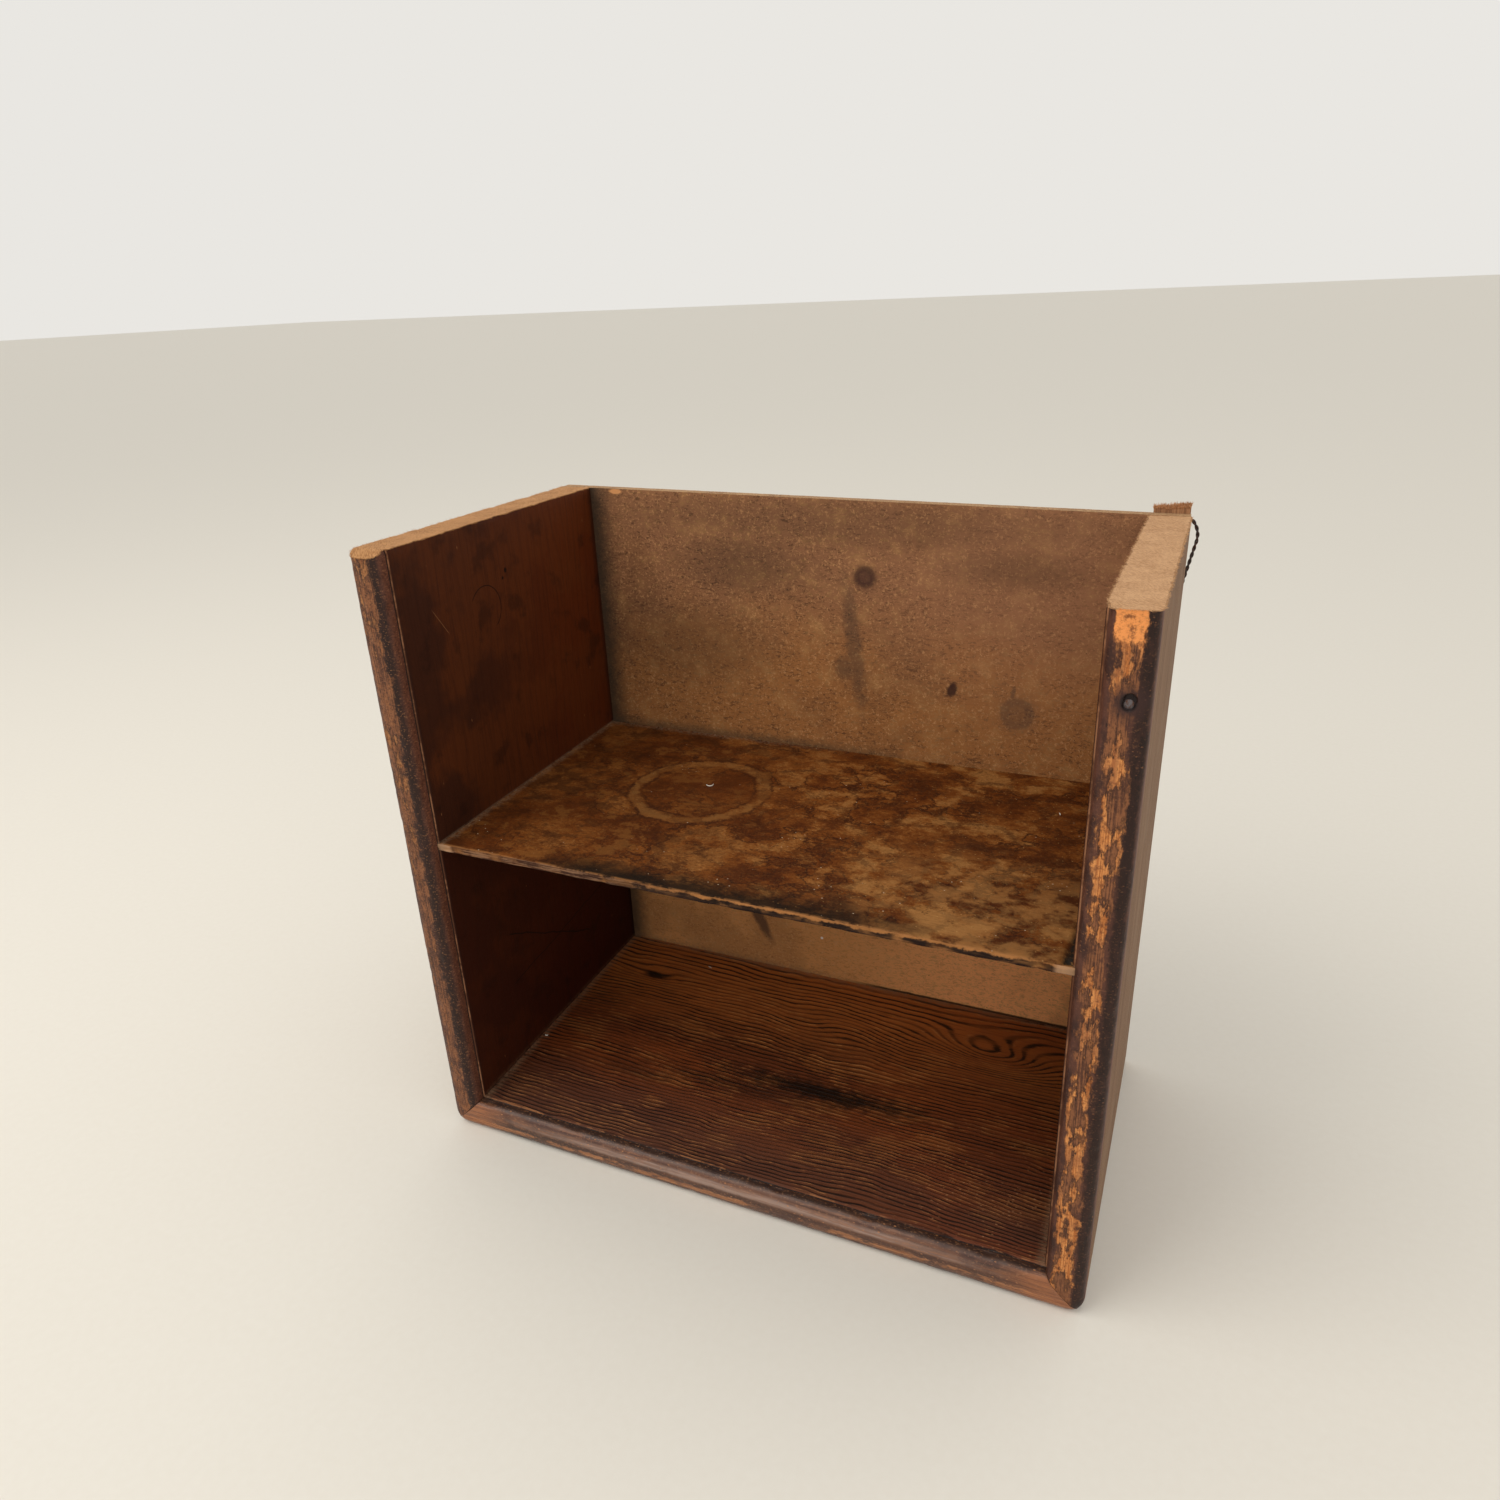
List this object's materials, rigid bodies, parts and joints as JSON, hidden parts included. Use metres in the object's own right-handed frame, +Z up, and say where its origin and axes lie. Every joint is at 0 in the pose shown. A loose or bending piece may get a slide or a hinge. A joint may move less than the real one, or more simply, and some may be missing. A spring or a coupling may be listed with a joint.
{
  "type": "wall shelf",
  "caption": "Small old wooden wall shelf, open at top and front, with rounded mitred front edges, a thin middle shelf, a nailed fibre board back and wire hanging loops.",
  "frame": {"origin": "middle of the underside of the bottom board", "axes": "+X to the right as seen from the open front, +Y back towards the wall, +Z up"},
  "size_m": [0.3584, 0.1974, 0.333],
  "materials": {
    "varnished_wood": "old dark brown varnish, worn to bare orange wood on the front edges",
    "stained_shelf": "water-stained amber varnish",
    "fibre_board": "matt brown pressed fibre board",
    "raw_wood": "rough unfinished wood",
    "loop_wire": "dark oxidised wire",
    "nail_steel": "dull grey iron, lightly rusted"
  },
  "bodies": {
    "root": {"left_side": "varnished_wood", "right_side": "varnished_wood", "bottom_board": "varnished_wood", "middle_shelf": "stained_shelf", "back_panel": "fibre_board", "left_batten": "raw_wood", "right_batten": "raw_wood", "left_hanging_loop": "loop_wire", "right_hanging_loop": "loop_wire", "loop_nails": "nail_steel", "loop_staples": "nail_steel", "batten_nails": "nail_steel", "corner_nails": "nail_steel", "back_panel_brads": "nail_steel", "front_nail": "nail_steel"}
  },
  "joints": []
}
